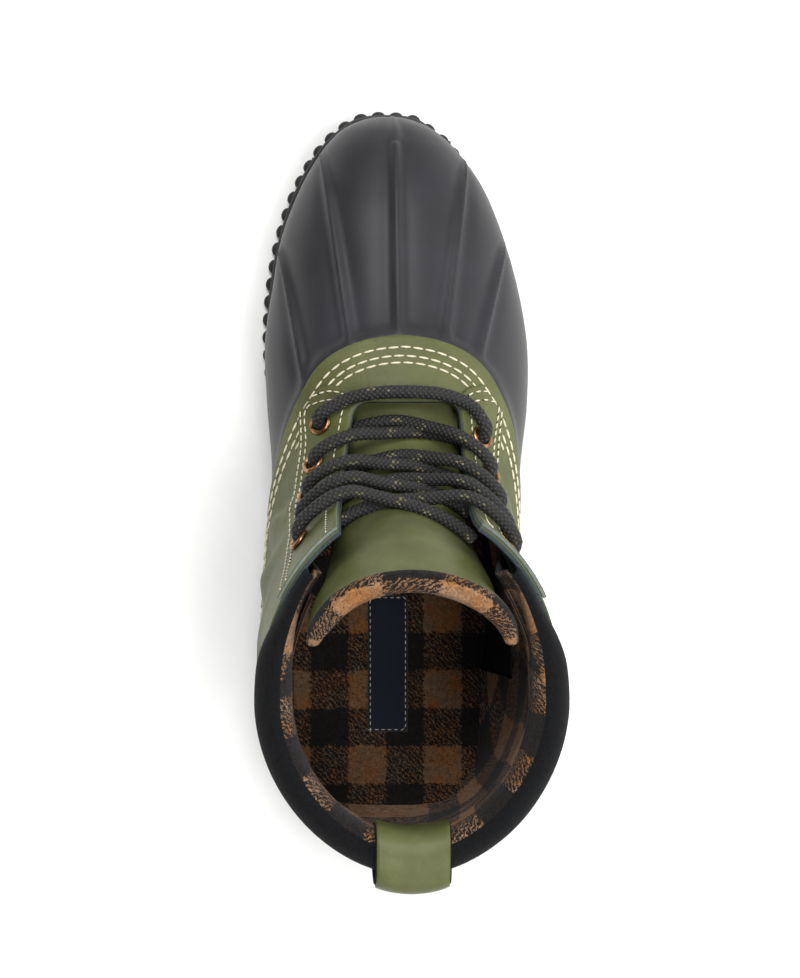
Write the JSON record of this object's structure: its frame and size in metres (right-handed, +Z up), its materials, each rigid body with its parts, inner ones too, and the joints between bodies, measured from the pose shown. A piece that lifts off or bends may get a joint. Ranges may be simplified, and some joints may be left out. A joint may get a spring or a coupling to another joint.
{
  "type": "duck boot",
  "caption": "Ankle boot with a moulded rubber foot on a chain-tread sole, a hollow leather shaft, a padded tongue and collar, rope lacing and a pull loop at the back.",
  "frame": {"origin": "middle of the heel's tread, on the floor", "axes": "+Y from heel to toe, +X to the wearer's right, which is the outer side, +Z up"},
  "size_m": [0.1145, 0.3034, 0.178],
  "materials": {
    "rubber": "moulded matt rubber",
    "leather": "smooth olive leather, slight gloss",
    "felt": "black wool felt",
    "wool": "brushed wool with a large check",
    "brass": "antique brass",
    "cord": "braided rope with light flecks"
  },
  "bodies": {
    "root": {"outsole": "rubber", "insole": "wool", "shell": "rubber", "upper": "leather", "eyestay_inner": "leather", "eyestay_outer": "leather", "tongue": "leather", "cuff": "felt", "eyelet_inner_1": "brass", "eyelet_inner_2": "brass", "eyelet_inner_3": "brass", "eyelet_inner_4": "brass", "eyelet_inner_5": "brass", "eyelet_outer_1": "brass", "eyelet_outer_2": "brass", "eyelet_outer_3": "brass", "eyelet_outer_4": "brass", "eyelet_outer_5": "brass", "lace_bar": "cord", "lace_cross_1": "cord", "lace_cross_2": "cord", "lace_cross_3": "cord", "lace_cross_4": "cord", "pull_loop": "leather"}
  },
  "joints": []
}
